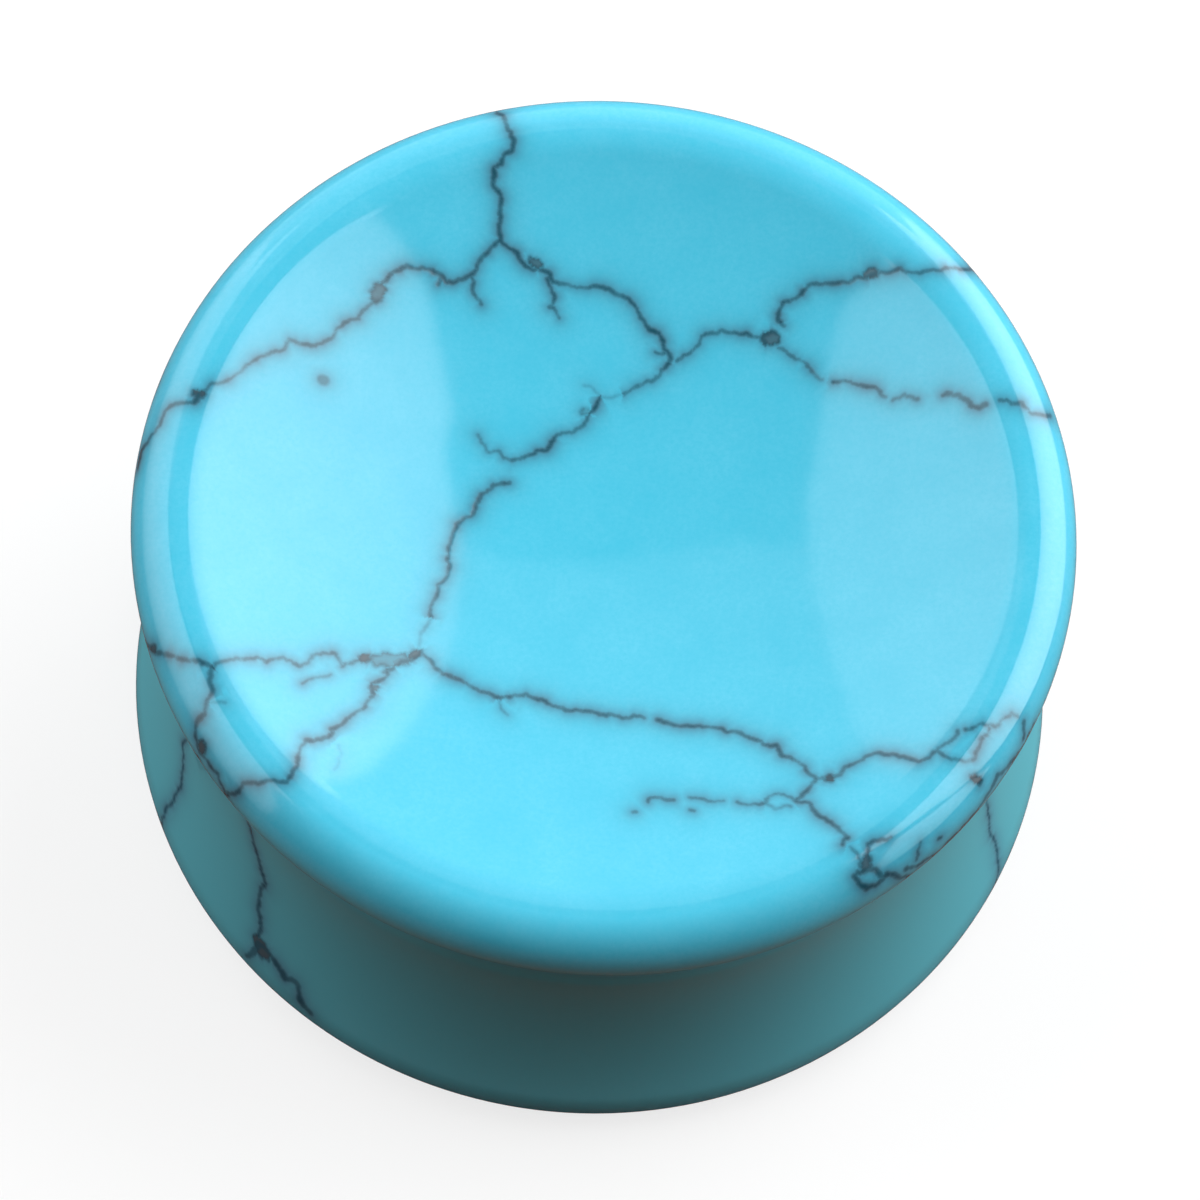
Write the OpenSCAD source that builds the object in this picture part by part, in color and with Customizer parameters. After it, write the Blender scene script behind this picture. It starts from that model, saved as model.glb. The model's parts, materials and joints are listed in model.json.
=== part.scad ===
// Double-flared ear plug, turned from one piece of veined turquoise stone.
// It stands on its lower rim, with its axis along Z and the origin under its centre.

/* [Fit in the lobe] */
// Gauge: diameter of the waist that the stretched lobe closes round
gauge_d = 22; // [14:0.5:50]
// How far each flare stands out past the waist, measured on the radius
flare_step = 1.5; // [0.5:0.1:3]
// Overall length of the plug, from rim to rim
plug_length = 12.8; // [8:0.2:24]

/* [Rim] */
// Radius of the rounded outer edge of each flare
lip_r = 1.1; // [0.6:0.1:1.5]
// Width of the flat land on the crown of each rim, which the plug rests on
land_w = 0.1; // [0.05:0.05:0.5]
// Radius of the soft shoulder where the land rolls down into the dish
shoulder_r = 2.5; // [0.5:0.1:3.5]

/* [Dished faces] */
// Depth of the dish at its centre, below the rim
dish_depth = 1.7; // [0.4:0.1:3]

/* [Hidden] */

// Sides of a full turn; curved faces keep this smoothness at every size
turn_sides = 180;

half_length = plug_length / 2;
waist_r = gauge_d / 2;
flare_r = waist_r + flare_step;

// Centre of the rounded lip in the section: distance from the axis, height above the waist
lip_x = flare_r - lip_r;
lip_z = half_length - lip_r;

// The saddle is one hollow arc. It touches the waist and runs tangent into both lips.
lip_overhang = flare_step - lip_r;
saddle_r = (lip_overhang * lip_overhang + lip_z * lip_z - lip_r * lip_r) / (2 * flare_step);
saddle_x = waist_r + saddle_r;
// Where the saddle and the lip touch, on the line between their centres
touch_share = lip_r / (saddle_r + lip_r);
touch_x = lip_x + (saddle_x - lip_x) * touch_share;
touch_z = lip_z * (1 - touch_share);

// Centre of the shoulder, under the inside of the land
shoulder_x = lip_x - land_w;
shoulder_z = half_length - shoulder_r;

// The dish is part of a ball that runs tangent into the shoulder
dish_r = (shoulder_x * shoulder_x + dish_depth * dish_depth) / (2 * dish_depth) - shoulder_r;
dish_z = half_length - dish_depth + dish_r;
// Height where the dish and the shoulder touch
dish_rim_z = shoulder_z + (dish_z - shoulder_z) * shoulder_r / (dish_r + shoulder_r);

// Upright band of the section between two distances from the axis, from the waist upwards
module band(from_x, to_x, height) {
    translate([from_x, 0])
        square([to_x - from_x, height]);
}

// The blank, as high as the dish, the land and the saddle need it at each distance
module blank() {
    band(0, shoulder_x, dish_rim_z);
    band(shoulder_x, lip_x, half_length);
    band(lip_x, touch_x, touch_z);
}

// The blank with its dish, and the shoulder that rolls down into the dish
module dished_blank() {
    difference() {
        blank();
        translate([0, dish_z])
            circle(r = dish_r, $fn = turn_sides);
    }
    intersection() {
        translate([shoulder_x, shoulder_z])
            circle(r = shoulder_r, $fn = turn_sides);
        band(shoulder_x - shoulder_r, shoulder_x, half_length);
    }
}

// Upper half of the section, from the axis out over the rim and down to the waist
module upper_section() {
    difference() {
        dished_blank();
        // Hollow of the saddle
        translate([saddle_x, 0])
            circle(r = saddle_r, $fn = turn_sides);
    }
    // Rounded lip outside the land
    translate([lip_x, lip_z])
        circle(r = lip_r, $fn = turn_sides);
}

// The lower half mirrors the upper one
module full_section() {
    upper_section();
    mirror([0, 1])
        upper_section();
}

module stone_plug() {
    color("#55CBEB")
        translate([0, 0, half_length])
            rotate_extrude($fn = turn_sides)
                full_section();
}

stone_plug();
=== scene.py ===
import json
import math
import random

import bmesh
import bpy
import numpy as np
from mathutils import Matrix, Vector
from mathutils.kdtree import KDTree

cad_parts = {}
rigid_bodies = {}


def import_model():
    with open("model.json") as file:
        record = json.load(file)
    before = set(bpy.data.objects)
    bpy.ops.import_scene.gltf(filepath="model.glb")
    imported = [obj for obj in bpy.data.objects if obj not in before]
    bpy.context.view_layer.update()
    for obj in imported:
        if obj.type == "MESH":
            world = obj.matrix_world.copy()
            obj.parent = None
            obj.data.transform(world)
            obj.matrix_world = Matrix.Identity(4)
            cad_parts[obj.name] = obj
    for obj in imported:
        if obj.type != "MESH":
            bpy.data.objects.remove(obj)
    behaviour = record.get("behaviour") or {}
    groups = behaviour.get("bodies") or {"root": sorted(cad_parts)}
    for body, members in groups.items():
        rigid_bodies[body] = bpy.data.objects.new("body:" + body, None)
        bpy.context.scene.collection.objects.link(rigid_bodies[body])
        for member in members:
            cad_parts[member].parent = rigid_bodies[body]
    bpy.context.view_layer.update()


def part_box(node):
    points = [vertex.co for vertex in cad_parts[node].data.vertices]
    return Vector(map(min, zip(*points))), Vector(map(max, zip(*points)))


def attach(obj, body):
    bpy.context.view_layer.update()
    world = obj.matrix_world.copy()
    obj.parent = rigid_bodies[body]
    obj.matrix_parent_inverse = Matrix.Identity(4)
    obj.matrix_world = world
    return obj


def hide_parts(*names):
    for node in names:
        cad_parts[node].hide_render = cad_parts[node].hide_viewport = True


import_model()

mm = 0.001
tiny = 1e-12  # stands for nought where a length divides
scene = bpy.context.scene

# The plug's own sizes are those of part.scad. Its outer sizes come from the frame.
plugLow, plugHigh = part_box("stone_plug")
plug = {
    "flareRadius": min(-plugLow.x, plugHigh.x, -plugLow.y, plugHigh.y),
    "halfLength": (plugHigh.z - plugLow.z) / 2,
    "flareStep": 1.5 * mm,
    "lipRadius": 1.1 * mm,
    "landWidth": 0.1 * mm,
    "shoulderRadius": 2.5 * mm,
    "dishDepth": 1.7 * mm,
}

# How finely the body is meshed
mesh = {
    "ringSides": 192,
    "fewestSides": 12,
    "dishRings": 28,
    "shoulderRings": 14,
    "landRings": 1,
    "lipRings": 18,
    "saddleRings": 13,
    "finestEdge": 0.07 * mm,
    "veinReach": 0.125 * mm,
    "refinements": 4,
    "halvingAt": 0.52,
    "spanShare": 0.55,
    "veinsTried": 6,
    "tableSteps": 240,
}


def arcRun(centre, radius, fromAngle, toAngle, facing, rings):
    # An arc of the section. Angles turn from +Z outwards; facing is -1 for a hollow.
    def at(share):
        angle = fromAngle + (toAngle - fromAngle) * share
        direction = np.stack([np.sin(angle), np.cos(angle)], -1)
        return np.array(centre) + radius * direction, facing * direction

    return {"at": at, "rings": rings, "length": radius * abs(toAngle - fromAngle)}


def levelRun(fromRadius, toRadius, height, rings):
    # A level stretch of the section
    def at(share):
        radius = fromRadius + (toRadius - fromRadius) * share
        flat = np.stack([radius, np.full_like(radius, height)], -1)
        return flat, np.stack([np.zeros_like(radius), np.ones_like(radius)], -1)

    return {"at": at, "rings": rings, "length": toRadius - fromRadius}


def upperRuns():
    # The section from the middle of the upper dish out over the rim and down to the waist
    half = plug["halfLength"]
    lipR = plug["lipRadius"]
    shoulderR = plug["shoulderRadius"]
    lipX = plug["flareRadius"] - lipR
    lipZ = half - lipR
    waist = plug["flareRadius"] - plug["flareStep"]
    overhang = plug["flareStep"] - lipR
    saddleR = (overhang**2 + lipZ**2 - lipR**2) / (2 * plug["flareStep"])
    saddleX = waist + saddleR
    shoulderX = lipX - plug["landWidth"]
    dishR = (shoulderX**2 + plug["dishDepth"] ** 2) / (2 * plug["dishDepth"]) - shoulderR
    dishZ = half - plug["dishDepth"] + dishR
    dishTurn = math.asin(shoulderX / (dishR + shoulderR))
    touchTurn = math.atan2(saddleX - lipX, -lipZ)
    dish = arcRun((0, dishZ), dishR, math.pi, math.pi - dishTurn, -1, mesh["dishRings"])
    shoulder = arcRun((shoulderX, half - shoulderR), shoulderR, -dishTurn, 0, 1, mesh["shoulderRings"])
    land = levelRun(shoulderX, lipX, half, mesh["landRings"])
    lip = arcRun((lipX, lipZ), lipR, 0, touchTurn, 1, mesh["lipRings"])
    saddle = arcRun((saddleX, 0), saddleR, touchTurn - math.pi, -math.pi / 2, -1, mesh["saddleRings"])
    return [dish, shoulder, land, lip, saddle]


def sectionPoints(stepsOf):
    # Points and normals down the whole section, upper half then lower, with shared ends once
    points = []
    normals = []
    for run in upperRuns():
        place, normal = run["at"](np.linspace(0, 1, stepsOf(run) + 1))
        points.append(place[:-1])
        normals.append(normal[:-1])
    points = np.concatenate(points + [place[-1:]])
    normals = np.concatenate(normals + [normal[-1:]])
    flip = np.array([1, -1])
    return (
        np.concatenate([points, points[-2::-1] * flip]),
        np.concatenate([normals, normals[-2::-1] * flip]),
    )


def makeSurface():
    # The section as a fine table over the angle seen from the plug's middle
    points, normals = sectionPoints(lambda run: mesh["tableSteps"])
    steps = np.hypot(*np.diff(points, axis=0).T)
    return {
        "angle": np.arctan2(points[:, 0], points[:, 1]),
        "distance": np.hypot(points[:, 0], points[:, 1]),
        "normalR": normals[:, 0],
        "normalZ": normals[:, 1],
        "run": np.concatenate([[0], np.cumsum(steps)]),
    }


surface = makeSurface()
rimRun = sum(run["length"] for run in upperRuns()[:4])  # along the section, to the lip's lower end
fullRun = surface["run"][-1]
sideStart = rimRun * 0.9  # the side's chart starts a little up the lip


def sectionAngle(points):
    return np.arctan2(np.hypot(points[:, 0], points[:, 1]), points[:, 2])


def onSurface(points):
    # Moves points along their line from the plug's middle onto its surface
    wanted = np.interp(sectionAngle(points), surface["angle"], surface["distance"])
    return points * (wanted / np.linalg.norm(points, axis=1))[:, None]


def surfaceNormals(points):
    angle = sectionAngle(points)
    across = np.hypot(points[:, 0], points[:, 1])
    level = points[:, :2] / np.maximum(across, tiny)[:, None]
    outward = np.interp(angle, surface["angle"], surface["normalR"])
    upward = np.interp(angle, surface["angle"], surface["normalZ"])
    normals = np.column_stack([level * outward[:, None], upward])
    return normals / np.linalg.norm(normals, axis=1)[:, None]


# The veins, charted one by one. A route on a face has x and y in mm across it
upperVeins = [
    {"name": "rimToFork", "width": 0.085, "ink": 1.0, "route": [
        (-3.97, 11.6), (-3.65, 11.1), (-3.4, 10.4), (-3.85, 9.8), (-3.57, 9.0), (-3.5, 7.93)]},
    {"name": "forkLeft", "width": 0.085, "ink": 1.0, "route": [
        (-3.5, 7.93), (-3.87, 7.47), (-4.2, 6.88), (-5.0, 6.77), (-5.5, 6.88), (-6.27, 6.63), (-6.5, 6.3)]},
    {"name": "leftDescent", "width": 0.068, "ink": 0.9, "route": [
        (-6.65, 5.75), (-7.57, 4.85), (-8.2, 4.23), (-8.8, 4.3), (-9.4, 3.7), (-10.2, 2.9), (-11.0, 2.33)]},
    {"name": "leftRim", "width": 0.11, "ink": 1.0, "route": [
        (-11.0, 2.33), (-11.1, 2.05), (-11.7, 1.95), (-12.03, 1.23), (-12.4, 0.3)]},
    {"name": "forkSpur", "width": 0.06, "ink": 0.9, "route": [
        (-4.2, 6.88), (-4.12, 6.5), (-3.83, 6.13)]},
    {"name": "leftSpur", "width": 0.06, "ink": 0.8, "route": [(-5.0, 6.77), (-5.03, 6.5)]},
    {"name": "forkRight", "width": 0.085, "ink": 1.0, "route": [
        (-3.5, 7.93), (-3.0, 7.63), (-2.33, 7.27), (-2.0, 7.0), (-1.33, 6.9), (-0.65, 7.0),
        (0.07, 6.75), (0.5, 6.22), (0.95, 5.9), (1.13, 5.47), (1.3, 5.1)]},
    {"name": "rightHook", "width": 0.06, "ink": 0.9, "route": [
        (-2.15, 7.05), (-1.9, 6.6), (-2.03, 6.3), (-1.73, 6.03)]},
    {"name": "bendSpur", "width": 0.05, "ink": 0.8, "route": [(1.17, 5.37), (0.9, 5.37)]},
    {"name": "middleFall", "width": 0.076, "ink": 0.9, "route": [
        (1.3, 5.1), (1.1, 4.8), (0.6, 4.43), (0.17, 4.13)]},
    {"name": "middleGap", "width": 0.045, "ink": 0.35, "route": [(0.17, 4.13), (-0.45, 4.0)]},
    {"name": "middleTurn", "width": 0.076, "ink": 1.0, "route": [
        (-0.45, 4.0), (-0.6, 3.6), (-0.8, 3.17), (-1.5, 2.8), (-1.71, 2.37), (-2.23, 2.13), (-2.62, 1.95)]},
    {"name": "middleSpur", "width": 0.045, "ink": 0.4, "route": [(-0.45, 4.0), (-0.9, 4.27)]},
    {"name": "middleHook", "width": 0.05, "ink": 0.7, "route": [
        (-2.62, 1.95), (-3.0, 2.17), (-3.3, 2.1), (-3.58, 2.53)]},
    {"name": "longFall", "width": 0.076, "ink": 0.95, "route": [
        (-2.63, 1.3), (-3.05, 1.2), (-3.4, 0.73), (-3.5, 0.3), (-3.83, 0.0), (-4.07, -0.8),
        (-3.98, -1.25), (-4.25, -1.9), (-4.33, -2.85)]},
    {"name": "longFallEnd", "width": 0.05, "ink": 0.4, "route": [
        (-4.33, -2.85), (-4.55, -3.4), (-4.5, -3.87)]},
    {"name": "riseRight", "width": 0.076, "ink": 0.9, "route": [
        (1.5, 5.18), (1.85, 5.45), (2.1, 5.9), (2.6, 6.09), (3.3, 6.05), (3.7, 5.97)]},
    {"name": "knotToRim", "width": 0.076, "ink": 1.0, "route": [
        (4.27, 6.3), (4.08, 6.5), (4.17, 6.93), (4.6, 7.15), (4.93, 7.47), (6.2, 7.67),
        (7.2, 7.93), (8.4, 8.05), (8.8, 8.1), (9.13, 8.6)]},
    {"name": "knotFall", "width": 0.068, "ink": 0.75, "route": [
        (4.15, 5.7), (4.93, 5.3), (5.4, 4.87)]},
    {"name": "dashOne", "width": 0.076, "ink": 0.95, "route": [
        (5.7, 4.81), (6.1, 4.83), (6.8, 4.69), (7.1, 4.43)]},
    {"name": "dashTwo", "width": 0.09, "ink": 0.9, "route": [(7.3, 4.33), (7.6, 4.5), (7.95, 4.37)]},
    {"name": "dashThree", "width": 0.11, "ink": 1.0, "route": [
        (8.6, 4.47), (9.03, 4.47), (9.4, 4.15), (9.75, 4.2)]},
    {"name": "dashFour", "width": 0.068, "ink": 0.95, "route": [
        (10.1, 4.32), (10.7, 4.3), (11.0, 4.02), (11.5, 4.2)]},
    {"name": "leftRimIn", "width": 0.1, "ink": 1.0, "route": [
        (-11.67, -4.5), (-11.4, -4.85), (-10.97, -5.09), (-10.2, -5.27), (-9.8, -5.43)]},
    {"name": "leftBridge", "width": 0.076, "ink": 0.9, "route": [
        (-9.8, -5.43), (-9.4, -5.13), (-8.7, -4.9), (-8.45, -5.0), (-7.6, -4.93), (-7.3, -4.57),
        (-6.73, -4.37), (-6.5, -4.73), (-6.03, -4.45)]},
    {"name": "leftBroken", "width": 0.06, "ink": 0.8, "route": [
        (-7.47, -5.43), (-7.2, -5.2), (-6.77, -5.02)]},
    {"name": "leftDrop", "width": 0.1, "ink": 1.0, "route": [
        (-9.8, -5.43), (-9.75, -6.1), (-9.9, -6.7), (-10.1, -7.1), (-9.95, -7.5)]},
    {"name": "patchDrop", "width": 0.085, "ink": 1.0, "route": [
        (-5.33, -4.6), (-5.7, -5.17), (-5.6, -5.4), (-5.85, -5.9), (-6.6, -6.65), (-6.65, -6.9), (-7.2, -7.1),
        (-7.35, -7.9), (-7.57, -8.43), (-8.2, -8.47), (-8.9, -8.63), (-9.17, -8.5)]},
    {"name": "longEast", "width": 0.076, "ink": 1.0, "route": [
        (-4.5, -3.93), (-4.0, -4.4), (-3.4, -4.6), (-2.33, -5.0), (-1.95, -4.85), (-0.77, -5.08),
        (0.43, -5.17), (1.5, -5.17)]},
    {"name": "eastSpur", "width": 0.05, "ink": 0.6, "route": [(-2.33, -5.0), (-2.07, -5.47)]},
    {"name": "eastEnd", "width": 0.085, "ink": 1.0, "route": [
        (1.85, -5.19), (3.13, -5.3), (4.2, -5.53), (5.0, -5.75), (5.55, -6.2), (6.1, -6.73)]},
    {"name": "rightRise", "width": 0.076, "ink": 0.95, "route": [
        (6.1, -6.73), (6.7, -6.6), (7.1, -6.2), (7.63, -5.9), (8.4, -6.05), (8.97, -6.05), (9.17, -5.83),
        (9.65, -5.22)]},
    {"name": "rightRimOut", "width": 0.068, "ink": 0.8, "route": [
        (9.85, -5.17), (10.17, -5.01), (10.6, -5.0), (11.2, -4.57)]},
    {"name": "rightLoop", "width": 0.068, "ink": 0.9, "route": [
        (9.17, -5.83), (9.9, -6.07), (10.17, -5.93), (10.27, -5.4), (10.47, -5.05)]},
    {"name": "rightFall", "width": 0.085, "ink": 1.0, "route": [
        (6.1, -6.73), (5.95, -7.0), (5.6, -7.43), (6.13, -7.73), (6.6, -8.1), (7.03, -8.5), (6.9, -8.7)]},
    {"name": "ringTop", "width": 0.076, "ink": 0.9, "route": [
        (5.6, -7.43), (5.27, -7.23), (4.9, -7.33), (4.83, -7.53)]},
    {"name": "ringFoot", "width": 0.06, "ink": 0.6, "route": [(5.5, -7.6), (5.1, -7.7), (4.83, -7.53)]},
    {"name": "westOne", "width": 0.06, "ink": 0.9, "route": [(4.83, -7.53), (4.1, -7.53)]},
    {"name": "westTwo", "width": 0.05, "ink": 0.75, "route": [(3.75, -7.52), (2.85, -7.47)]},
    {"name": "westThree", "width": 0.06, "ink": 0.8, "route": [
        (2.45, -7.59), (2.13, -7.53), (1.85, -7.57), (1.8, -7.72)]},
    {"name": "clusterLink", "width": 0.06, "ink": 0.8, "route": [
        (7.1, -8.75), (7.33, -8.95), (7.43, -9.35)]},
    {"name": "clusterRise", "width": 0.085, "ink": 1.0, "route": [
        (7.68, -9.25), (7.57, -8.93), (7.55, -8.62), (8.13, -8.37)]},
    {"name": "clusterLoop", "width": 0.115, "ink": 1.0, "route": [
        (7.45, -9.33), (7.27, -9.5), (7.63, -9.67), (8.05, -9.35), (7.83, -9.22), (7.45, -9.33)]},
    {"name": "clusterToRim", "width": 0.11, "ink": 1.0, "route": [
        (8.05, -9.3), (8.3, -9.17), (8.7, -8.97)]},
    {"name": "rimStreak", "width": 0.06, "ink": 0.9, "route": [(8.93, -8.3), (8.87, -8.67)]},
    {"name": "lipEdge", "width": 0.085, "ink": 0.95, "route": [
        (-9.95, -7.5), (-9.65, -7.85), (-9.4, -8.1), (-9.17, -8.5)]},
    {"name": "dropSpur", "width": 0.05, "ink": 0.45, "route": [(-9.78, -6.4), (-9.4, -6.37)]},
    {"name": "rimTick", "width": 0.12, "ink": 1.0, "route": [(11.38, -4.62), (11.42, -4.95)]},
    {"name": "blueDot", "width": 0.22, "ink": 0.75, "route": [(-7.83, 3.38), (-7.77, 3.36)]},
    {"name": "knotEdge", "width": 0.13, "ink": 1.0, "route": [
        (3.95, 6.13), (3.76, 6.05), (3.72, 5.92), (3.82, 5.78)]},
    {"name": "patchEdge", "width": 0.085, "ink": 0.9, "route": [
        (-4.5, -3.9), (-4.75, -4.25), (-5.1, -4.45), (-5.4, -4.7)]},
    {"name": "faintRing", "width": 0.045, "ink": 0.22, "route": [
        (-6.35, -7.1), (-6.25, -7.35), (-6.3, -7.65), (-6.4, -7.85)]},
    {"name": "dotOne", "width": 0.068, "ink": 0.6, "route": [(1.43, -8.05), (1.51, -8.04)]},
    {"name": "dotTwo", "width": 0.068, "ink": 0.7, "route": [(2.9, -7.86), (3.0, -7.88)]},
    {"name": "rimDot", "width": 0.11, "ink": 0.9, "route": [(9.4, -8.05), (9.46, -8.0)]},
]
# A route on the side has degrees from the front towards the right and mm above the middle
sideVeins = [
    # Partly a vein and partly painted shade and reflection where the lip turns under
    {"name": "underRimVeinAndShade", "width": 0.13, "ink": 0.75, "route": [
        (44, 5.7), (47, 5.45), (57, 5.42), (64, 5.42), (69, 5.45)]},
    {"name": "flankSmear", "width": 0.24, "ink": 0.22, "route": [(-68, -2.4), (-64, -1.9), (-60, -1.5)]},
    {"name": "leftFlank", "width": 0.085, "ink": 1.0, "route": [
        (-69, 5.3), (-72, 1.0), (-70.5, -3.0), (-68, -3.3), (-66, -3.8), (-65.5, -4.6), (-65, -5.5)]},
    {"name": "frontFlank", "width": 0.11, "ink": 1.0, "route": [
        (-53, 5.3), (-52, 1.5), (-50.5, -1.6), (-48.5, -2.0), (-46, -2.5), (-44.5, -3.7), (-43.5, -4.2)]},
    {"name": "frontRagged", "width": 0.17, "ink": 1.0, "route": [
        (-43.5, -5.0), (-43, -4.4), (-40, -4.4), (-37.5, -4.6), (-35.5, -4.5), (-34.5, -4.8), (-32.5, -5.0)]},
    {"name": "rightFlank", "width": 0.076, "ink": 1.0, "route": [
        (68, 5.3), (70, 1.0), (73, -3.2), (71, -3.8), (69, -4.8), (64, -6.0)]},
    # The photograph doesn't show the ones from here on, nor the lower face
    {"name": "backFall", "width": 0.085, "ink": 1.0, "route": [
        (133, 5.6), (136, 3.4), (131, 1.2), (134, -0.9), (140, -2.8), (138, -5.4)]},
    {"name": "backBranch", "width": 0.068, "ink": 0.85, "route": [
        (131, 1.2), (122, 0.4), (113, 1.1), (104, 0.1)]},
    {"name": "backSlant", "width": 0.076, "ink": 0.95, "route": [
        (-103, 5.5), (-109, 3.2), (-118, 1.6), (-127, 0.9), (-137, -1.2), (-141, -3.9), (-149, -5.7)]},
    {"name": "backTwig", "width": 0.05, "ink": 0.7, "route": [(-127, 0.9), (-130, 2.5), (-136, 3.3)]},
    {"name": "backRise", "width": 0.076, "ink": 0.9, "route": [
        (176, -5.8), (171, -3.6), (173, -1.4), (166, 0.6), (169, 2.7)]},
]
lowerVeins = [
    {"name": "underLong", "width": 0.085, "ink": 1.0, "route": [
        (-9.2, 8.1), (-7.4, 6.5), (-5.9, 5.9), (-4.1, 4.2), (-2.6, 3.8), (-0.9, 1.9), (0.6, 1.4),
        (2.3, -0.4)]},
    {"name": "underFork", "width": 0.076, "ink": 0.95, "route": [
        (2.3, -0.4), (3.9, -0.9), (5.2, -2.4), (7.3, -2.9), (8.8, -4.4), (11.0, -4.9)]},
    {"name": "underFall", "width": 0.076, "ink": 0.95, "route": [
        (2.3, -0.4), (2.0, -2.3), (2.9, -4.0), (2.4, -6.1), (3.2, -8.3), (2.9, -11.2)]},
    {"name": "underBranch", "width": 0.068, "ink": 0.85, "route": [
        (-4.1, 4.2), (-5.3, 2.7), (-5.0, 1.1), (-6.4, -0.6), (-8.1, -1.0), (-9.5, -2.5), (-11.6, -2.9)]},
    {"name": "underTwig", "width": 0.05, "ink": 0.7, "route": [(5.2, -2.4), (5.0, -3.9), (5.9, -4.8)]},
]
charts = {"upper": upperVeins, "side": sideVeins, "lower": lowerVeins}

# Grey and dark patches where veins meet, placed as the routes are. The half sizes long and wide are
# in mm, and the turn is in degrees.
patches = [
    {"name": "leftKnot", "on": "upper", "place": (-6.6, 6.0),
     "long": 0.27, "wide": 0.2, "turn": 70, "fill": 0.75},
    {"name": "leftBead", "on": "upper", "place": (-11.0, 2.33),
     "long": 0.17, "wide": 0.12, "turn": 0, "fill": 1.0},
    {"name": "midKnot", "on": "upper", "place": (3.93, 5.95),
     "long": 0.25, "wide": 0.21, "turn": 20, "fill": 0.75},
    {"name": "brownKnot", "on": "upper", "place": (6.43, 7.78),
     "long": 0.22, "wide": 0.15, "turn": 15, "fill": 0.75},
    {"name": "forkPatch", "on": "upper", "place": (-2.5, 7.43),
     "long": 0.22, "wide": 0.13, "turn": -25, "fill": 0.75},
    {"name": "greyPatch", "on": "upper", "place": (-5.25, -4.27),
     "long": 0.62, "wide": 0.21, "turn": 10, "fill": 0.5},
    {"name": "patchBead", "on": "upper", "place": (-5.93, -4.38),
     "long": 0.17, "wide": 0.13, "turn": 40, "fill": 1.0},
    {"name": "cornerBead", "on": "upper", "place": (-4.65, -4.05),
     "long": 0.2, "wide": 0.1, "turn": 40, "fill": 0.9},
    {"name": "dropBead", "on": "upper", "place": (-5.62, -5.2),
     "long": 0.13, "wide": 0.1, "turn": 0, "fill": 0.7},
    {"name": "rimBead", "on": "upper", "place": (-9.9, -7.45),
     "long": 0.22, "wide": 0.15, "turn": 45, "fill": 1.0},
    {"name": "eastBead", "on": "upper", "place": (6.45, -6.7),
     "long": 0.12, "wide": 0.1, "turn": 0, "fill": 1.0},
    {"name": "rimWedge", "on": "upper", "place": (10.25, -6.43),
     "long": 0.22, "wide": 0.13, "turn": 5, "fill": 1.0},
    {"name": "cluster", "on": "upper", "place": (7.55, -9.1),
     "long": 0.24, "wide": 0.13, "turn": 80, "fill": 0.85},
    {"name": "turnPatch", "on": "upper", "place": (-0.8, 3.55),
     "long": 0.14, "wide": 0.1, "turn": 30, "fill": 0.3},
    {"name": "flankKnot", "on": "side", "place": (-42.3, -4.4),
     "long": 0.42, "wide": 0.23, "turn": -25, "fill": 1.0},
    {"name": "startBead", "on": "upper", "place": (-11.45, -4.8),
     "long": 0.2, "wide": 0.1, "turn": -35, "fill": 1.0},
]


def charted(face, place):
    # A chart's place as a point about the plug's middle
    if face == "side":
        turn = math.radians(place[0])
        height = place[1] * mm
        # The section angle that has this height, between the two lips
        fine = surface["distance"] * np.cos(surface["angle"])
        outer = (surface["run"] > sideStart) & (surface["run"] < fullRun - sideStart)
        angle = np.interp(-height, -fine[outer], surface["angle"][outer])
        across = np.interp(angle, surface["angle"], surface["distance"]) * math.sin(angle)
        return np.array([across * math.sin(turn), -across * math.cos(turn), height])
    across = math.hypot(*place) * mm
    radii = surface["distance"] * np.sin(surface["angle"])
    inner = surface["run"] < rimRun
    widest = np.argmax(np.where(inner, radii, 0))
    angle = np.interp(across, radii[: widest + 1], surface["angle"][: widest + 1])
    height = np.interp(angle, surface["angle"], surface["distance"]) * math.cos(angle)
    side = 1 if face == "upper" else -1
    across = min(across, radii[widest])
    turn = math.atan2(place[1], place[0])
    return np.array([across * math.cos(turn), across * math.sin(turn), side * height])


# How far each halving of a route strays, as a share of the step, and how that calms down
crack = {
    "finestStep": 0.03 * mm,
    "veinWander": 0.1,
    "patchWander": 0.12,
    "calming": 0.95,
}


def cracked(points, wander, rng):
    # Breaks a route into ever shorter steps that stray to either side, as a crack does
    points = np.array(points)
    while np.linalg.norm(np.diff(points, axis=0), axis=1).max() > crack["finestStep"]:
        start = points[:-1]
        steps = np.diff(points, axis=0)
        span = np.linalg.norm(steps, axis=1)
        middle = onSurface(start + steps / 2)
        aside = np.cross(surfaceNormals(middle), steps) / np.maximum(span, tiny)[:, None]
        stray = np.array([rng.gauss(0, wander) for _ in span]) * span
        middle = onSurface(middle + aside * stray[:, None])
        merged = np.empty((len(points) + len(middle), 3))
        merged[0::2] = points
        merged[1::2] = middle
        points = merged
        wander *= crack["calming"]
    return points


# How unevenly widths and inks run, with a new aim every so many steps
drifts = {
    "veinWidth": {"every": 10, "low": 0.6, "high": 1.45},
    "veinInk": {"every": 18, "low": 0.65, "high": 1.12},
    "outlineWidth": {"every": 8, "low": 0.6, "high": 1.6},
    "outlineInk": {"every": 10, "low": 0.5, "high": 1.0},
}
seeds = {"veins": 100, "patches": 500}


def uneven(count, name, rng):
    # Values that drift between a low and a high
    drift = drifts[name]
    aims = [rng.uniform(drift["low"], drift["high"]) for _ in range(count // drift["every"] + 2)]
    return np.interp(np.arange(count) / drift["every"], np.arange(len(aims)), aims)


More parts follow.
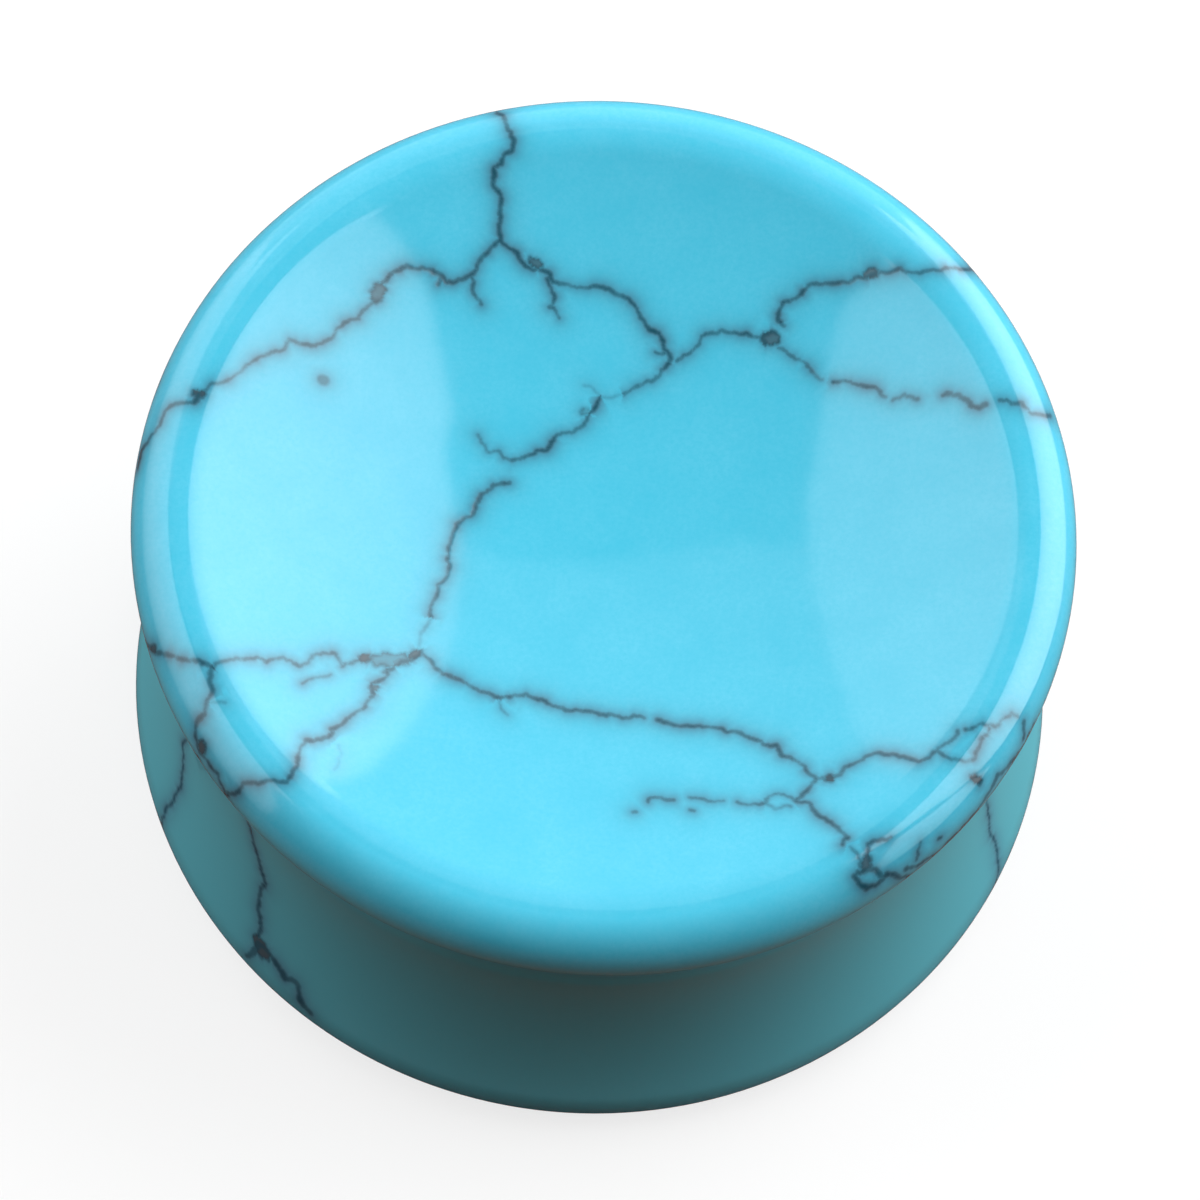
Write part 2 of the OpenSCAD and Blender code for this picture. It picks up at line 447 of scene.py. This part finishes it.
def makeVeins():
    # Every vein as fine samples with a half width and an ink, in metres about the middle
    samples = {"place": [], "half": [], "ink": []}
    rows = [(face, vein) for face, chart in charts.items() for vein in chart]
    for number, (face, vein) in enumerate(rows):
        rng = random.Random(seeds["veins"] + number)
        places = [charted(face, place) for place in vein["route"]]
        route = cracked(places, crack["veinWander"], rng)
        half = vein["width"] / 2 * mm * uneven(len(route), "veinWidth", rng)
        ink = vein["ink"] * uneven(len(route), "veinInk", rng)
        samples["place"].append(route)
        samples["half"].append(half)
        samples["ink"].append(np.clip(ink, 0, 1))
    return samples


# A patch's ragged outline. No point of a patch lies past the reach from its centre.
outline = {
    "corners": 7,
    "least": 0.85,
    "most": 1.15,
    "halfWidth": 0.03 * mm,
    "leastInk": 0.3,
    "reach": 1.2 * mm,
}


def makePatches(samples):
    # Each patch's ragged outline joins the veins, and its inside is kept for the fill
    rounds = []
    for number, patch in enumerate(patches):
        rng = random.Random(seeds["patches"] + number)
        centre = charted(patch["on"], patch["place"])
        normal = Vector(surfaceNormals(centre[None])[0])
        along = Vector((0, 0, 1)) if patch["on"] == "side" else Vector((0, 1, 0))
        right = np.array(along.cross(normal).normalized())
        up = np.cross(normal, right)
        corners = []
        for step in range(outline["corners"]):
            angle = step / outline["corners"] * math.tau
            reach = rng.uniform(outline["least"], outline["most"]) * mm
            spot = Vector((patch["long"] * math.cos(angle), patch["wide"] * math.sin(angle))) * reach
            spot.rotate(Matrix.Rotation(math.radians(patch["turn"]), 2))
            corners.append(centre + right * spot.x + up * spot.y)
        edge = cracked(onSurface(np.array(corners + corners[:1])), crack["patchWander"], rng)
        inkiness = outline["leastInk"] + (1 - outline["leastInk"]) * patch["fill"]
        samples["place"].append(edge)
        samples["half"].append(outline["halfWidth"] * uneven(len(edge), "outlineWidth", rng))
        samples["ink"].append(uneven(len(edge), "outlineInk", rng) * inkiness)
        loop = np.column_stack([(edge - centre) @ right, (edge - centre) @ up])
        rounds.append({"centre": centre, "right": right, "up": up, "loop": loop, "fill": patch["fill"]})
    return rounds


veinSamples = makeVeins()
patchRounds = makePatches(veinSamples)
veinPlaces = np.concatenate(veinSamples["place"])
veinHalves = np.concatenate(veinSamples["half"])
veinInks = np.concatenate(veinSamples["ink"])
veinTree = KDTree(len(veinPlaces))
for number, place in enumerate(veinPlaces):
    veinTree.insert(place, number)
veinTree.balance()
routes = sum(len(chart) for chart in charts.values())
print("veins:", routes, "routes,", len(patches), "patches,", len(veinPlaces), "samples")


def ringSides(radius):
    # A ring has half the sides each time it is half as wide
    sides = mesh["ringSides"]
    share = radius / plug["flareRadius"]
    while sides > mesh["fewestSides"] and share < sides / mesh["ringSides"] * mesh["halvingAt"]:
        sides //= 2
    return sides


def addRing(bm, radius, height):
    if radius < tiny:
        return [bm.verts.new((0, 0, height))]
    sides = ringSides(radius)
    turns = [math.tau * step / sides for step in range(sides)]
    return [bm.verts.new((radius * math.cos(t), radius * math.sin(t), height)) for t in turns]


def joinRings(bm, one, other):
    # Triangles between two rings, one of which may have half the sides or be a single point
    if len(one) > len(other):
        one, other = other, one
    count = len(other)
    for step in range(count):
        a = other[step]
        b = other[(step + 1) % count]
        if len(one) == 1:
            bm.faces.new((one[0], a, b))
        elif len(one) == count:
            c = one[(step + 1) % count]
            bm.faces.new((one[step], a, b))
            bm.faces.new((one[step], b, c))
        elif step % 2 == 0:
            bm.faces.new((one[step // 2], a, b))
        else:
            near = one[step // 2]
            far = one[(step // 2 + 1) % len(one)]
            bm.faces.new((near, a, b))
            bm.faces.new((near, b, far))


def refineAtVeins(bm):
    # Halves the edges near veins until the veins' edges are finely met
    for _ in range(mesh["refinements"]):
        chosen = []
        for edge in bm.edges:
            span = edge.calc_length()
            if span < mesh["finestEdge"]:
                continue
            middle = (edge.verts[0].co + edge.verts[1].co) / 2
            if veinTree.find(middle)[2] < mesh["veinReach"] + span * mesh["spanShare"]:
                chosen.append(edge)
        bmesh.ops.subdivide_edges(bm, edges=chosen, cuts=1, use_grid_fill=True)
        wide = [face for face in bm.faces if len(face.verts) > 3]
        bmesh.ops.triangulate(bm, faces=wide)
        places = onSurface(np.array([vert.co[:] for vert in bm.verts]))
        for vert, place in zip(bm.verts, places):
            vert.co = place


def insideLoop(points, loop):
    # Even-odd test of flat points against a closed loop
    inside = np.zeros(len(points), bool)
    for start, end in zip(loop, np.roll(loop, -1, axis=0)):
        crosses = (start[1] > points[:, 1]) != (end[1] > points[:, 1])
        rise = end[1] - start[1] if end[1] != start[1] else tiny
        at = start[0] + (points[:, 1] - start[1]) / rise * (end[0] - start[0])
        inside ^= crosses & (points[:, 0] < at)
    return inside


def measureVeins(places):
    # For each vertex: the gap in mm to the nearest vein's edge, that vein's ink, and the patch fill
    gaps = np.empty(len(places))
    inks = np.empty(len(places))
    for number, place in enumerate(places):
        best = math.inf
        for _, nearest, distance in veinTree.find_n(place, mesh["veinsTried"]):
            gap = distance - veinHalves[nearest]
            if gap < best:
                best = gap
                inks[number] = veinInks[nearest]
        gaps[number] = best
    fills = np.zeros(len(places))
    for patch in patchRounds:
        offset = places - patch["centre"]
        near = np.linalg.norm(offset, axis=1) < outline["reach"]
        flat = np.column_stack([offset[near] @ patch["right"], offset[near] @ patch["up"]])
        fills[near] = np.maximum(fills[near], patch["fill"] * insideLoop(flat, patch["loop"]))
    return gaps / mm, inks, fills


# Where the body's faces lie in its map, in shares of the square
bakeMap = {
    "upperCentre": (0.335, 0.335),
    "upperSpan": 0.325,
    "lowerCentre": (0.825, 0.825),
    "lowerSpan": 0.165,
    "stripWidth": 0.15,
    "stripLength": 0.64,
    "stripStart": 0.675,
    "stripStep": 0.165,
    "margin": 0.005,
}


def mapPlaces(corners):
    # The map of one face, from its corners about the plug's middle
    run = np.interp(sectionAngle(corners), surface["angle"], surface["run"])
    turn = np.arctan2(corners[:, 1], corners[:, 0])
    middleRun = run.mean()
    if middleRun < rimRun or middleRun > fullRun - rimRun:
        upper = middleRun < rimRun
        reach = run / rimRun if upper else (fullRun - run) / rimRun
        name = "upper" if upper else "lower"
        reach = reach * bakeMap[name + "Span"]
        centre = bakeMap[name + "Centre"]
        return np.column_stack([centre[0] + reach * np.cos(turn), centre[1] + reach * np.sin(turn)])
    middleTurn = math.atan2(corners[:, 1].sum(), corners[:, 0].sum())
    quarter = int((middleTurn % math.tau) // (math.pi / 2))
    across = (run - rimRun) / (fullRun - 2 * rimRun) * bakeMap["stripWidth"]
    along = ((turn - quarter * math.pi / 2 + math.pi) % math.tau - math.pi) / (math.pi / 2)
    along = along * bakeMap["stripLength"]
    start = bakeMap["stripStart"] + (quarter % 2) * bakeMap["stripStep"]
    if quarter < 2:
        return np.column_stack([start + across, bakeMap["margin"] + along])
    return np.column_stack([bakeMap["margin"] + along, start + across])


def buildBody():
    bm = bmesh.new()
    points, _ = sectionPoints(lambda run: run["rings"])
    rings = [addRing(bm, radius, height) for radius, height in points]
    for one, other in zip(rings, rings[1:]):
        joinRings(bm, one, other)
    refineAtVeins(bm)
    bmesh.ops.recalc_face_normals(bm, faces=bm.faces)
    data = bpy.data.meshes.new("stoneBody")
    bm.to_mesh(data)
    bm.free()
    places = np.empty(len(data.vertices) * 3)
    data.vertices.foreach_get("co", places)
    places = onSurface(places.reshape(-1, 3))
    for name, values in zip(("veinGap", "veinInk", "veinFill"), measureVeins(places)):
        layer = data.attributes.new(name, "FLOAT", "POINT")
        layer.data.foreach_set("value", values.astype(np.float32))
    uv = data.uv_layers.new(name="OFBake")
    for polygon in data.polygons:
        spots = mapPlaces(places[list(polygon.vertices)])
        for loop, spot in zip(polygon.loop_indices, spots):
            uv.data[loop].uv = spot
    lifted = places + np.array([0, 0, plug["halfLength"] + plugLow.z])
    data.vertices.foreach_set("co", lifted.astype(np.float32).ravel())
    data.polygons.foreach_set("use_smooth", [True] * len(data.polygons))
    data.update()
    data.normals_split_custom_set_from_vertices(surfaceNormals(places).tolist())
    body = bpy.data.objects.new("stoneBody", data)
    scene.collection.objects.link(body)
    print("body:", len(data.vertices), "vertices,", len(data.polygons), "triangles")
    return body


def newGroup(name, inputs, outputs):
    # A shader node group with named sockets, ready to be wired
    group = bpy.data.node_groups.new(name, "ShaderNodeTree")
    for label, kind, value in inputs:
        socket = group.interface.new_socket(label, in_out="INPUT", socket_type=kind)
        socket.default_value = value
    for label, kind in outputs:
        group.interface.new_socket(label, in_out="OUTPUT", socket_type=kind)
    return group


def addNode(tree, kind, place, **values):
    node = tree.nodes.new("ShaderNode" + kind)
    node.location = place
    for key, value in values.items():
        setattr(node, key, value)
    return node


def addMath(tree, place, operation, first, second=None, clamp=False):
    node = addNode(tree, "Math", place, operation=operation, use_clamp=clamp)
    for socket, value in zip(node.inputs, (first, second)):
        if isinstance(value, bpy.types.NodeSocket):
            tree.links.new(value, socket)
        elif value is not None:
            socket.default_value = value
    return node.outputs[0]


def addMix(tree, place, factor, first, second):
    node = addNode(tree, "Mix", place, data_type="RGBA")
    for socket, value in ((node.inputs[0], factor), (node.inputs[6], first), (node.inputs[7], second)):
        if isinstance(value, bpy.types.NodeSocket):
            tree.links.new(value, socket)
        else:
            socket.default_value = value
    return node.outputs[2]


def addNoise(tree, place, vector, scale, detail, roughness):
    node = addNode(tree, "TexNoise", place)
    node.inputs["Scale"].default_value = scale
    node.inputs["Detail"].default_value = detail
    node.inputs["Roughness"].default_value = roughness
    tree.links.new(vector, node.inputs["Vector"])
    return node.outputs["Fac"]


def addRange(tree, place, value, fromLow, fromHigh, toLow=0, toHigh=1):
    node = addNode(tree, "MapRange", place)
    ends = {"From Min": fromLow, "From Max": fromHigh, "To Min": toLow, "To Max": toHigh}
    for label, number in ends.items():
        node.inputs[label].default_value = number
    tree.links.new(value, node.inputs["Value"])
    return node.outputs[0]


def addFade(tree, place, value, full, gone):
    # One up to full, and from there smoothly down to nought at gone
    node = addNode(tree, "MapRange", place, interpolation_type="SMOOTHSTEP")
    node.inputs["To Min"].default_value = 1.0
    node.inputs["To Max"].default_value = 0.0
    for label, source in (("Value", value), ("From Min", full), ("From Max", gone)):
        tree.links.new(source, node.inputs[label])
    return node.outputs[0]


def stoneColourGroup():
    # The blue ground of the stone: slow clouds, small flecks and a fine grain
    group = newGroup("stoneGround", [
        ("Ground", "NodeSocketColor", (0.06, 0.44, 0.6, 1)),
        ("Pale", "NodeSocketColor", (0.09, 0.47, 0.63, 1)),
        ("Deep", "NodeSocketColor", (0.04, 0.41, 0.57, 1)),
        ("Clouds", "NodeSocketFloat", 0.9),
        ("Flecks", "NodeSocketFloat", 0.6),
    ], [("Color", "NodeSocketColor")])
    enter = addNode(group, "TexCoord", (-900, 0)).outputs["Object"]
    given = group.nodes.new("NodeGroupInput")
    given.location = (-900, 300)
    clouds = addNoise(group, (-900, 100), enter, scale=600, detail=4.0, roughness=0.65)
    flecks = addNoise(group, (-900, -250), enter, scale=7000, detail=3.0, roughness=0.7)
    billow = addRange(group, (-700, 100), clouds, fromLow=0.3, fromHigh=0.7)
    cloudy = addMath(group, (-500, 0), "MULTIPLY", billow, given.outputs["Clouds"])
    paler = addMix(group, (-300, 100), cloudy, given.outputs["Ground"], given.outputs["Pale"])
    fleck = addRange(group, (-500, -250), flecks, fromLow=0.35, fromHigh=0.75)
    flecked = addMath(group, (-300, -250), "MULTIPLY", fleck, given.outputs["Flecks"])
    colour = addMix(group, (-100, 0), flecked, paler, given.outputs["Deep"])
    leave = group.nodes.new("NodeGroupOutput")
    leave.location = (100, 0)
    group.links.new(colour, leave.inputs["Color"])
    return group


def veinMaskGroup():
    # Turns the distance to the nearest vein into a ragged dark core and a soft stain beside it
    group = newGroup("veinMasks", [
        ("Gap", "NodeSocketFloat", 1.0),
        ("Ink", "NodeSocketFloat", 1.0),
        ("Ragged", "NodeSocketFloat", 0.05),
        ("Softness", "NodeSocketFloat", 0.06),
        ("Stain Width", "NodeSocketFloat", 0.225),
    ], [("Core", "NodeSocketFloat"), ("Stain", "NodeSocketFloat")])
    place = addNode(group, "TexCoord", (-900, -200)).outputs["Object"]
    given = group.nodes.new("NodeGroupInput")
    given.location = (-900, 200)
    noise = addNoise(group, (-700, -200), place, scale=9000, detail=2.0, roughness=0.6)
    centred = addMath(group, (-500, -200), "SUBTRACT", noise, 0.5)
    ragged = addMath(group, (-350, -200), "MULTIPLY", centred, given.outputs["Ragged"])
    gap = addMath(group, (-200, 0), "ADD", given.outputs["Gap"], ragged)
    low = addMath(group, (-350, 250), "MULTIPLY", given.outputs["Softness"], -1.0)
    edge = addFade(group, (0, 100), gap, low, given.outputs["Softness"])
    core = addMath(group, (200, 100), "MULTIPLY", edge, given.outputs["Ink"], clamp=True)
    away = addMath(group, (-200, -350), "MAXIMUM", given.outputs["Gap"], 0.0)
    share = addMath(group, (0, -350), "DIVIDE", away, given.outputs["Stain Width"])
    faded = addMath(group, (150, -350), "MULTIPLY", share, -1.0)
    fall = addMath(group, (300, -350), "EXPONENT", faded)
    stain = addMath(group, (450, -350), "MULTIPLY", fall, given.outputs["Ink"], clamp=True)
    leave = group.nodes.new("NodeGroupOutput")
    leave.location = (650, 0)
    group.links.new(core, leave.inputs["Core"])
    group.links.new(stain, leave.inputs["Stain"])
    return group


def paintedSideShadeGroup():
    # Where shade and warm reflected light are painted: one on the saddle, which is duller and browner in the
    # photograph, fading out up the lips
    group = newGroup("paintedSideShadeMask", [
        ("Middle", "NodeSocketFloat", 0.0064),
        ("Full Within", "NodeSocketFloat", 0.0048),
        ("Gone Beyond", "NodeSocketFloat", 0.006),
        ("Least Radius", "NodeSocketFloat", 0.0105),
    ], [("Mask", "NodeSocketFloat")])
    enter = addNode(group, "TexCoord", (-1100, 0)).outputs["Object"]
    given = group.nodes.new("NodeGroupInput")
    given.location = (-1100, 300)
    split = addNode(group, "SeparateXYZ", (-900, 0))
    group.links.new(enter, split.inputs[0])
    lifted = addMath(group, (-700, 100), "SUBTRACT", split.outputs["Z"], given.outputs["Middle"])
    height = addMath(group, (-500, 100), "ABSOLUTE", lifted)
    squareX = addMath(group, (-700, -100), "MULTIPLY", split.outputs["X"], split.outputs["X"])
    squareY = addMath(group, (-700, -250), "MULTIPLY", split.outputs["Y"], split.outputs["Y"])
    squares = addMath(group, (-500, -100), "ADD", squareX, squareY)
    radius = addMath(group, (-300, -100), "SQRT", squares)
    outside = addMath(group, (-100, -100), "GREATER_THAN", radius, given.outputs["Least Radius"])
    fade = addFade(group, (-300, 150), height, given.outputs["Full Within"], given.outputs["Gone Beyond"])
    mask = addMath(group, (100, 0), "MULTIPLY", fade, outside)
    leave = group.nodes.new("NodeGroupOutput")
    leave.location = (300, 0)
    group.links.new(mask, leave.inputs["Mask"])
    return group


# The stone's finish, with a colour of painted shade and warm reflected light for the saddle
stone = {
    "ground": (0.062, 0.435, 0.6, 1),
    "pale": (0.086, 0.465, 0.63, 1),
    "deep": (0.042, 0.41, 0.575, 1),
    # the saddle's painted shade and warm reflected light
    "paintedSideShade": (0.077, 0.324, 0.388, 1),
    "stain": (0.05, 0.14, 0.2, 1),
    "fill": (0.04, 0.066, 0.083, 1),
    "ink": (0.008, 0.06, 0.09, 1),
    "roughness": 0.075,
    "inkRoughness": 0.2,
    "ior": 1.5,
    "stainShare": 0.95,
    "grooveDepth": 0.0015 * mm,
}


def groupNode(tree, group, place):
    node = tree.nodes.new("ShaderNodeGroup")
    node.node_tree = group
    node.location = place
    return node


def attributeNode(tree, name, place):
    return addNode(tree, "Attribute", place, attribute_name=name).outputs["Fac"]


def makeStoneMaterial():
    material = bpy.data.materials.new("polishedStone")
    material.use_nodes = True
    tree = material.node_tree
    shader = tree.nodes["Principled BSDF"]
    shader.inputs["IOR"].default_value = stone["ior"]
    ground = groupNode(tree, stoneColourGroup(), (-900, 300))
    for label, tone in (("Ground", "ground"), ("Pale", "pale"), ("Deep", "deep")):
        ground.inputs[label].default_value = stone[tone]
    masks = groupNode(tree, veinMaskGroup(), (-900, -100))
    tree.links.new(attributeNode(tree, "veinGap", (-1150, 0)), masks.inputs["Gap"])
    tree.links.new(attributeNode(tree, "veinInk", (-1150, -200)), masks.inputs["Ink"])
    fill = attributeNode(tree, "veinFill", (-1150, -400))
    # The saddle gets painted shade and warm reflected light
    side = groupNode(tree, paintedSideShadeGroup(), (-900, 600))
    side.inputs["Middle"].default_value = plugLow.z + plug["halfLength"]
    sideShaded = addMix(tree, (-700, 500), side.outputs["Mask"], ground.outputs["Color"], stone["paintedSideShade"])
    stainShare = addMath(tree, (-700, 100), "MULTIPLY", masks.outputs["Stain"], stone["stainShare"])
    stained = addMix(tree, (-550, 300), stainShare, sideShaded, stone["stain"])
    filled = addMix(tree, (-350, 300), fill, stained, stone["fill"])
    inked = addMix(tree, (-150, 300), masks.outputs["Core"], filled, stone["ink"])
    tree.links.new(inked, shader.inputs["Base Color"])
    spread = stone["inkRoughness"] - stone["roughness"]
    rougher = addMath(tree, (-350, 0), "MULTIPLY", masks.outputs["Core"], spread)
    roughness = addMath(tree, (-150, 0), "ADD", rougher, stone["roughness"])
    tree.links.new(roughness, shader.inputs["Roughness"])
    sunk = addMath(tree, (-350, -250), "MULTIPLY", masks.outputs["Core"], -1.0)
    bump = addNode(tree, "Bump", (-150, -250))
    bump.inputs["Distance"].default_value = stone["grooveDepth"]
    tree.links.new(sunk, bump.inputs["Height"])
    tree.links.new(bump.outputs["Normal"], shader.inputs["Normal"])
    return material


stoneBody = buildBody()
stoneBody.data.materials.append(makeStoneMaterial())
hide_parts("stone_plug")
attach(stoneBody, "root")
print("stone:", len(stoneBody.data.materials), "material with", len(bpy.data.node_groups), "node groups")

# The soft boxes either side behind the plug, and a dimmer flap before the right one. Each leans
# along a slope that runs from its top inner edge down to the floor. Outline places are shares
# down that slope and metres behind the plug. Glows are given by the share of the height.
softBoxes = [
    {
        "name": "rightBox", "side": 1, "dimFrom": 0.0, "dimTo": 0.13, "nearGlow": 0.5, "farGlow": 0.35,
        "glows": [(0.0, 2.9), (0.15, 4.0), (0.46, 5.2), (0.68, 4.9), (0.85, 4.0), (1.0, 2.9)],
        "outline": [
            (1.0, 0.15), (0.88, 0.04), (0.75, -0.03), (0.62, -0.055), (0.45, -0.05), (0.3, -0.02),
            (0.16, 0.0), (0.11, 0.01), (0.08, 0.022), (0.05, 0.048), (0.025, 0.09), (0.003, 0.135),
            (0.012, 0.16), (-0.02, 0.24), (-0.02, 0.29),
            (-0.01, 0.34), (0.022, 0.393), (0.06, 0.435), (0.1, 0.465), (0.14, 0.482), (0.17, 0.478),
            (0.22, 0.47), (0.3, 0.52), (0.56, 0.76), (1.0, 1.1)],
    },
    {
        "name": "rightFlap", "side": 1, "dimFrom": -0.14, "dimTo": 0.0, "nearGlow": 0.3, "farGlow": 1.0,
        "glows": [(0.0, 1.4), (0.4, 2.7), (1.0, 2.7)],
        "outline": [
            (0.28, -0.05), (0.42, -0.06), (0.65, -0.065), (0.85, -0.07), (0.82, -0.17), (0.68, -0.24),
            (0.52, -0.19), (0.38, -0.11)],
    },
    {
        "name": "leftBox", "side": -1, "dimFrom": -0.2, "dimTo": 0.1, "nearGlow": 0.4, "farGlow": 0.6,
        "glows": [(0.0, 0.8), (0.15, 1.6), (0.4, 2.7), (0.75, 2.5), (1.0, 1.7)],
        "outline": [
            (1.0, -0.33), (0.8, -0.28), (0.6, -0.22), (0.4, -0.14), (0.28, -0.07), (0.15, 0.0), (0.1, 0.016),
            (0.065, 0.038), (0.058, 0.1), (0.051, 0.172), (0.067, 0.218), (0.095, 0.266), (0.158, 0.352),
            (0.2, 0.384), (0.25, 0.38), (0.31, 0.34), (0.56, 0.47), (1.0, 0.72)],
    },
]
# The boxes dim towards their near edges, which lie further forward lower down, and far behind
boxSlope = {
    "topX": 0.1,
    "topZ": 0.5,
    "footX": 0.5,
    "footZ": 0.0,
    "lean": 0.15,
    "farFrom": 0.45,
    "farTo": 1.05,
}


def makeSheet(name, corners, faces, wireGlow):
    # A light sheet of the studio, which the camera itself doesn't see
    material = bpy.data.materials.new(name + "Glow")
    material.use_nodes = True
    tree = material.node_tree
    tree.nodes.clear()
    place = addNode(tree, "TexCoord", (-800, 0)).outputs["Object"]
    split = addNode(tree, "SeparateXYZ", (-600, 0))
    tree.links.new(place, split.inputs[0])
    glow = addNode(tree, "Emission", (200, 0))
    tree.links.new(wireGlow(tree, split.outputs["Y"], split.outputs["Z"]), glow.inputs["Strength"])
    leave = addNode(tree, "OutputMaterial", (400, 0))
    tree.links.new(glow.outputs[0], leave.inputs["Surface"])
    data = bpy.data.meshes.new(name)
    data.from_pydata(corners, [], faces)
    data.materials.append(material)
    sheet = bpy.data.objects.new(name, data)
    sheet.visible_camera = False
    scene.collection.objects.link(sheet)


def makeSoftBox(box):
    corners = []
    for slope, back in box["outline"]:
        x = boxSlope["topX"] + (boxSlope["footX"] - boxSlope["topX"]) * slope
        z = boxSlope["topZ"] + (boxSlope["footZ"] - boxSlope["topZ"]) * slope
        corners.append((box["side"] * x, back, z))
    brightest = max(glow for _, glow in box["glows"])

    def wireGlow(tree, y, z):
        share = addMath(tree, (-400, 100), "DIVIDE", z, boxSlope["topZ"])
        ramp = addNode(tree, "ValToRGB", (-250, 100))
        tree.links.new(share, ramp.inputs[0])
        stops = ramp.color_ramp.elements
        while len(stops) < len(box["glows"]):
            stops.new(0.5)
        for stop, (height, glow) in zip(stops, box["glows"]):
            stop.position = height
            stop.color = (glow / brightest, glow / brightest, glow / brightest, 1)
        full = addMath(tree, (0, 100), "MULTIPLY", ramp.outputs[0], brightest)
        lowered = addMath(tree, (-400, -150), "SUBTRACT", 1.0, share)
        forward = addMath(tree, (-250, -150), "MULTIPLY", lowered, boxSlope["lean"])
        behind = addMath(tree, (-100, -150), "ADD", y, forward)
        near = addRange(tree, (0, -150), behind, box["dimFrom"], box["dimTo"], box["nearGlow"], 1)
        far = addRange(tree, (0, -350), y, boxSlope["farFrom"], boxSlope["farTo"], 1, box["farGlow"])
        dimmed = addMath(tree, (100, -200), "MULTIPLY", near, far)
        return addMath(tree, (150, 0), "MULTIPLY", full, dimmed)

    makeSheet(box["name"], corners, [tuple(range(len(corners)))], wireGlow)


for box in softBoxes:
    makeSoftBox(box)

# A dim sheet overhead, which bends down into a wall well behind the plug
backSheet = {
    "height": 0.6,
    "wall": 1.1,
    "halfWidth": 1.1,
    "nearGlow": 0.74,
    "wallGlow": 1.3,
    "nearEdge": [(1.1, 0.29), (0.11, 0.289), (0.03, 0.292), (-0.015, 0.277), (-0.08, 0.257), (-1.1, 0.25)],
}


def makeBackSheet(sheet):
    near = [(x, y, sheet["height"]) for x, y in sheet["nearEdge"]]
    width = sheet["halfWidth"]
    bend = [(-width, sheet["wall"], sheet["height"]), (width, sheet["wall"], sheet["height"])]
    foot = [(width, sheet["wall"], 0), (-width, sheet["wall"], 0)]
    count = len(near)
    faces = [tuple(range(count + 2)), (count, count + 3, count + 2, count + 1)]

    def wireGlow(tree, y, z):
        start = sheet["nearEdge"][0][1]
        return addRange(tree, (-300, 0), y, start, sheet["wall"], sheet["nearGlow"], sheet["wallGlow"])

    makeSheet("backSheet", near + bend + foot, faces, wireGlow)


makeBackSheet(backSheet)


def onlyForCamera(tree, other, seen, leave):
    # Gives the camera one look and everything else the other
    path = addNode(tree, "LightPath", (-400, 400))
    pick = addNode(tree, "MixShader", (100, 200))
    for socket, source in zip(pick.inputs, (path.outputs["Is Camera Ray"], other, seen)):
        tree.links.new(source, socket)
    tree.links.new(pick.outputs[0], leave.inputs["Surface"])


# The floor, which lends the plug little light
paleSheet = {
    "halfSize": 3.0,
    "lentColour": (0.15, 0.08, 0.055, 1),
    "lentRoughness": 0.8,
    "seenGlow": 0.76,
    "seenColour": (0.22, 0.22, 0.22, 1),
}


def makeFloor():
    size = paleSheet["halfSize"]
    corners = [(-size, -size, 0), (size, -size, 0), (size, size, 0), (-size, size, 0)]
    data = bpy.data.meshes.new("floor")
    data.from_pydata(corners, [], [(0, 1, 2, 3)])
    floor = bpy.data.objects.new("floor", data)
    floor.location.z = plugLow.z
    scene.collection.objects.link(floor)
    material = bpy.data.materials.new("paleSheet")
    material.use_nodes = True
    tree = material.node_tree
    shader = tree.nodes["Principled BSDF"]
    shader.inputs["Base Color"].default_value = paleSheet["lentColour"]
    shader.inputs["Roughness"].default_value = paleSheet["lentRoughness"]
    glow = addNode(tree, "Emission", (-300, 200))
    glow.inputs["Strength"].default_value = paleSheet["seenGlow"]
    matt = addNode(tree, "BsdfDiffuse", (-300, 0))
    matt.inputs["Color"].default_value = paleSheet["seenColour"]
    pale = addNode(tree, "AddShader", (-100, 100))
    tree.links.new(glow.outputs[0], pale.inputs[0])
    tree.links.new(matt.outputs[0], pale.inputs[1])
    onlyForCamera(tree, shader.outputs[0], pale.outputs[0], tree.nodes["Material Output"])
    data.materials.append(material)


# The room beyond the sheets
surroundings = {
    "lit": (0.03, 0.022, 0.018, 1),
    "seen": (0.96, 0.96, 0.96, 1),
}


def makeWorld():
    world = bpy.data.worlds.new("studio")
    world.use_nodes = True
    tree = world.node_tree
    room = tree.nodes["Background"]
    room.inputs["Color"].default_value = surroundings["lit"]
    pale = addNode(tree, "Background", (-200, 200))
    pale.inputs["Color"].default_value = surroundings["seen"]
    onlyForCamera(tree, room.outputs[0], pale.outputs[0], tree.nodes["World Output"])
    scene.world = world


makeFloor()
makeWorld()
print("studio:", len(softBoxes), "light boxes, a back sheet, a floor and the room")

# The camera's place, worked out from the photograph's two ellipses
view = {
    "elevation": 66.855,
    "roll": 5.376,
    "distance": 230.18 * mm,
    "lens": 256.0,
    "sensor": 36.0,
    "aside": 0.078 * mm,
    "above": 0.219 * mm,
    "clipStart": 0.01,
    "clipEnd": 20.0,
}


def makeCamera():
    tilt = math.radians(view["elevation"])
    roll = math.radians(view["roll"])
    back = Vector((0, -math.cos(tilt), math.sin(tilt)))
    level = Vector((1, 0, 0))
    upright = back.cross(level)
    right = level * math.cos(roll) + upright * math.sin(roll)
    up = upright * math.cos(roll) - level * math.sin(roll)
    middle = Vector((0, 0, plugLow.z + plug["halfLength"]))
    place = middle + back * view["distance"] + right * view["aside"] + up * view["above"]
    data = bpy.data.cameras.new("camera")
    data.sensor_width = view["sensor"]
    data.lens = view["lens"]
    data.clip_start = view["clipStart"]
    data.clip_end = view["clipEnd"]
    camera = bpy.data.objects.new("camera", data)
    turned = Matrix((right, up, back)).transposed()
    camera.matrix_world = Matrix.Translation(place) @ turned.to_4x4()
    scene.collection.objects.link(camera)
    scene.camera = camera


makeCamera()
print("camera:", round(view["distance"] / mm), "mm away with a lens of", view["lens"], "mm")
scene.view_settings.view_transform = "Standard"
